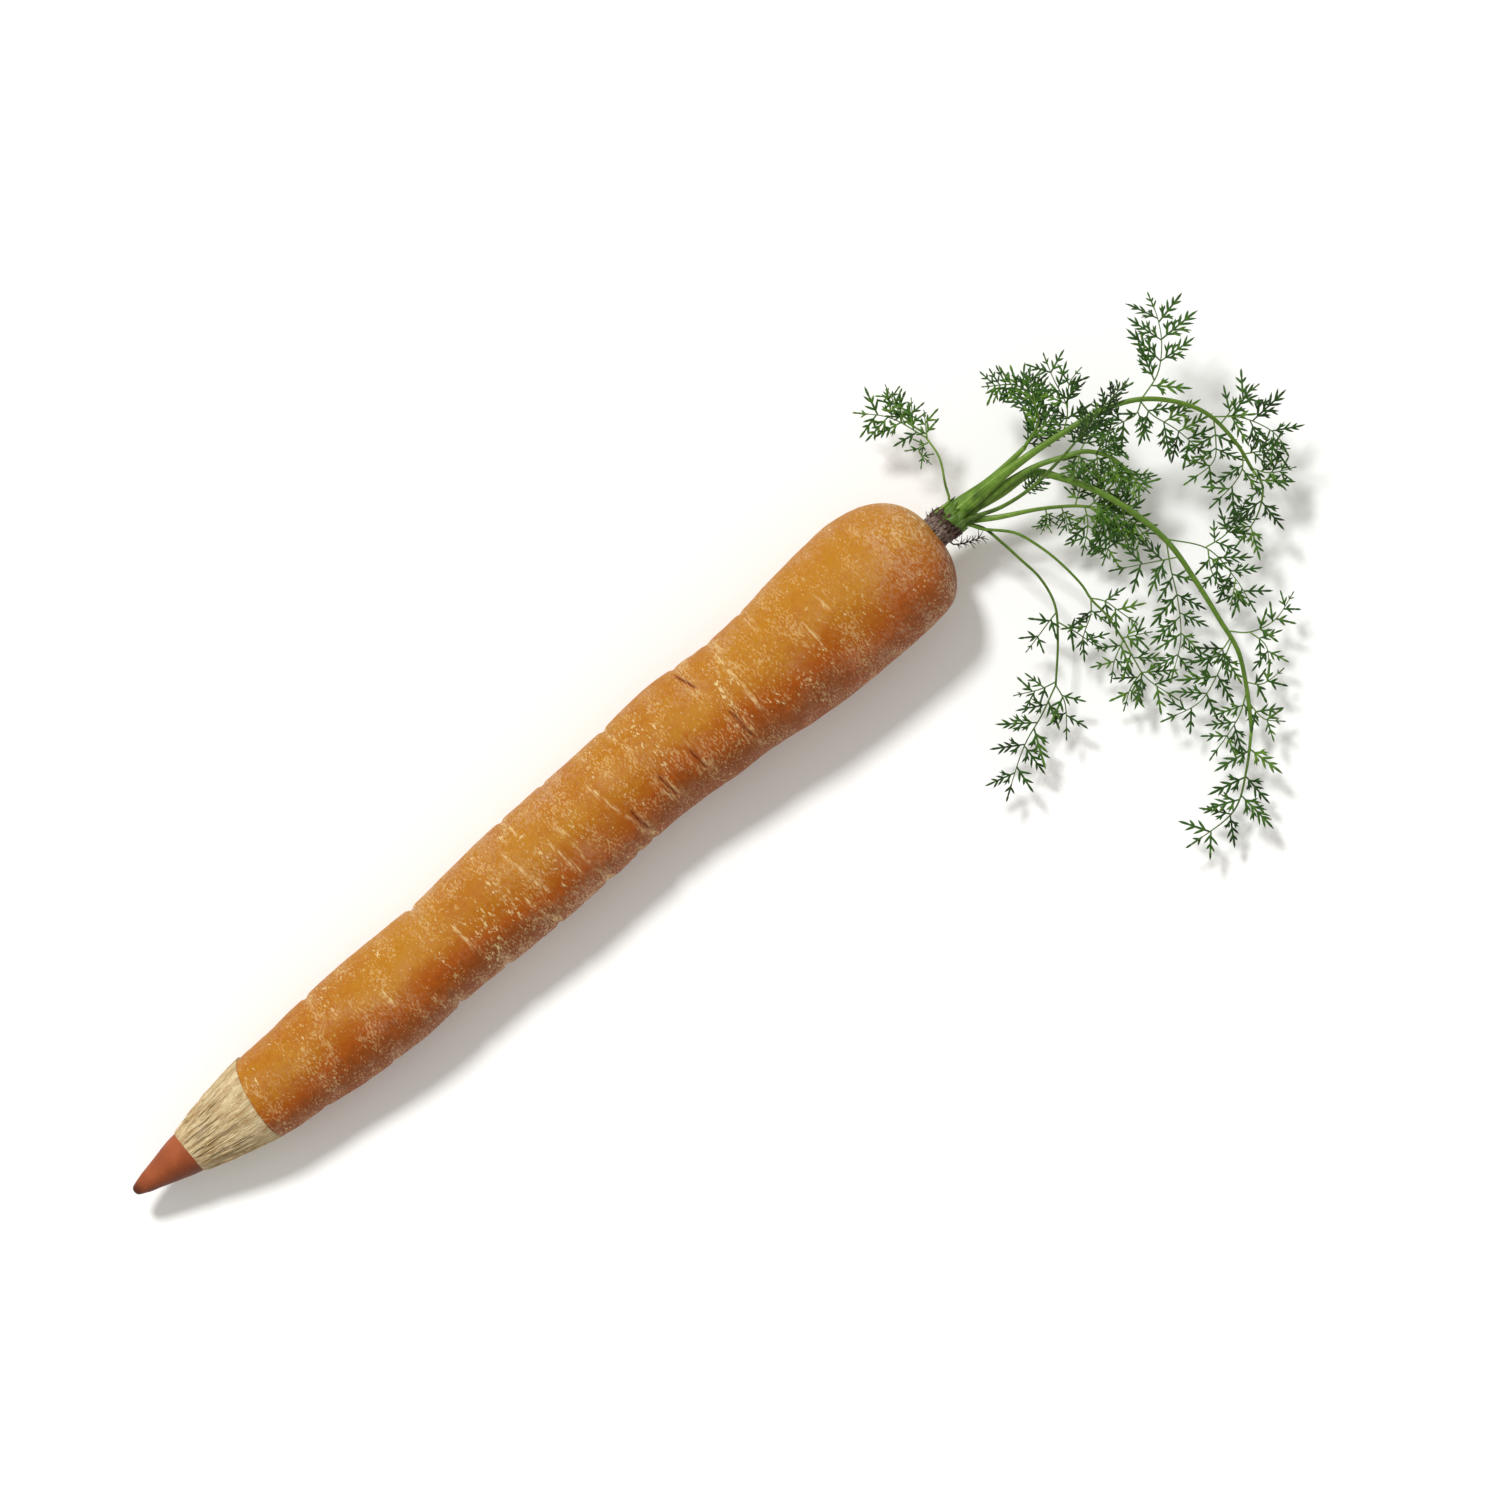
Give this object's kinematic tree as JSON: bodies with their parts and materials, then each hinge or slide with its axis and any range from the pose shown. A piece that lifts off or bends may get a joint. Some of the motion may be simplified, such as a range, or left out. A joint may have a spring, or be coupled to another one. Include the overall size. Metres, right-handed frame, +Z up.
{
  "type": "carrot with a pencil point",
  "caption": "Whole carrot lying on its side with its leafy green fronds, its thin end sharpened like a coloured pencil to a wooden cone and a colour core.",
  "frame": {"origin": "middle of the flat spot under the thick end of the root, on the surface that the carrot lies on", "axes": "+X runs along the root from the pencil point to the leafy crown, +Z is up from the surface, +Y is the side away from the hanging fronds"},
  "size_m": [0.2769, 0.1164, 0.0348],
  "materials": {
    "carrot_skin": "amber orange vegetable skin with pale flecks and scars",
    "pencil_wood": "raw sharpened wood with coarse grain",
    "pencil_core": "matte waxy orange-brown colour core",
    "crown_bark": "dry brown fibrous leaf bases",
    "foliage": "fresh green stalks and finely cut leaflets"
  },
  "bodies": {
    "root": {"root": "carrot_skin", "wood_point": "pencil_wood", "colour_core": "pencil_core", "crown": "crown_bark", "frond_small_left": "foliage", "frond_upper_left": "foliage", "frond_top_arch": "foliage", "frond_dark_spike": "foliage", "frond_mid_curl": "foliage", "frond_main_droop": "foliage", "frond_low_right": "foliage", "frond_thin_inner": "foliage", "frond_thin_outer": "foliage"}
  },
  "joints": []
}
